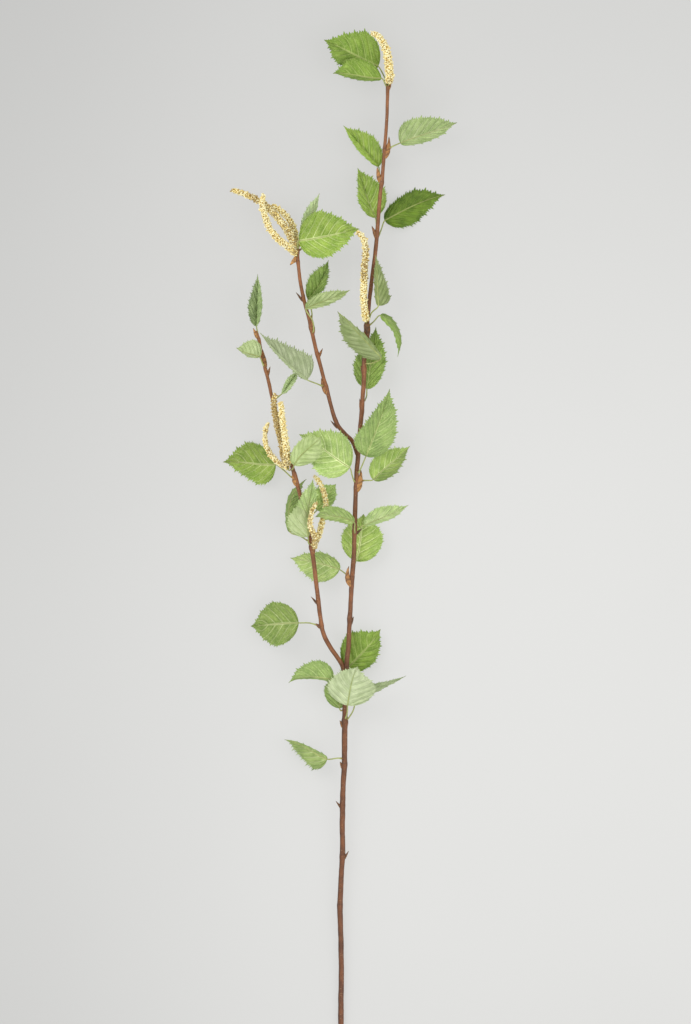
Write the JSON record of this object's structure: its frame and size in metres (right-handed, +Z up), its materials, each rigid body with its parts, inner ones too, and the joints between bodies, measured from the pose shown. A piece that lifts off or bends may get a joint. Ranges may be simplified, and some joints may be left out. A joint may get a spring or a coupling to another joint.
{
  "type": "birch branch",
  "caption": "Long thin cut birch branch with forked side twigs, serrated green leaves on thin stalks and golden catkins, lying down.",
  "frame": {"origin": "middle of the lying branch's outline, on the surface that it lies on", "axes": "+Y from the cut end to the top of the branch, +Z up from the surface, +X to the right seen from above with the top away"},
  "size_m": [0.2114, 0.9398, 0.0516],
  "materials": {
    "bark": "satin brown bark",
    "leaf": "soft satin green, paler below",
    "catkin": "matt grainy gold"
  },
  "bodies": {
    "root": {"branch_wood": "bark", "leaf_01": "leaf", "leaf_02": "leaf", "leaf_03": "leaf", "leaf_04": "leaf", "leaf_05": "leaf", "leaf_06": "leaf", "leaf_07": "leaf", "leaf_08": "leaf", "leaf_09": "leaf", "leaf_10": "leaf", "leaf_11": "leaf", "leaf_12": "leaf", "leaf_13": "leaf", "leaf_14": "leaf", "leaf_15": "leaf", "leaf_16": "leaf", "leaf_17": "leaf", "leaf_18": "leaf", "leaf_19": "leaf", "leaf_20": "leaf", "leaf_21": "leaf", "leaf_22": "leaf", "leaf_23": "leaf", "leaf_24": "leaf", "leaf_25": "leaf", "leaf_26": "leaf", "leaf_27": "leaf", "leaf_28": "leaf", "leaf_29": "leaf", "leaf_30": "leaf", "leaf_31": "leaf", "leaf_32": "leaf", "leaf_33": "leaf", "leaf_34": "leaf", "leaf_35": "leaf", "leaf_36": "leaf", "leaf_37": "leaf", "catkin_01": "catkin", "catkin_02": "catkin", "catkin_03": "catkin", "catkin_04": "catkin", "catkin_05": "catkin", "catkin_06": "catkin", "catkin_07": "catkin", "catkin_08": "catkin", "catkin_09": "catkin", "catkin_10": "catkin"}
  },
  "joints": []
}
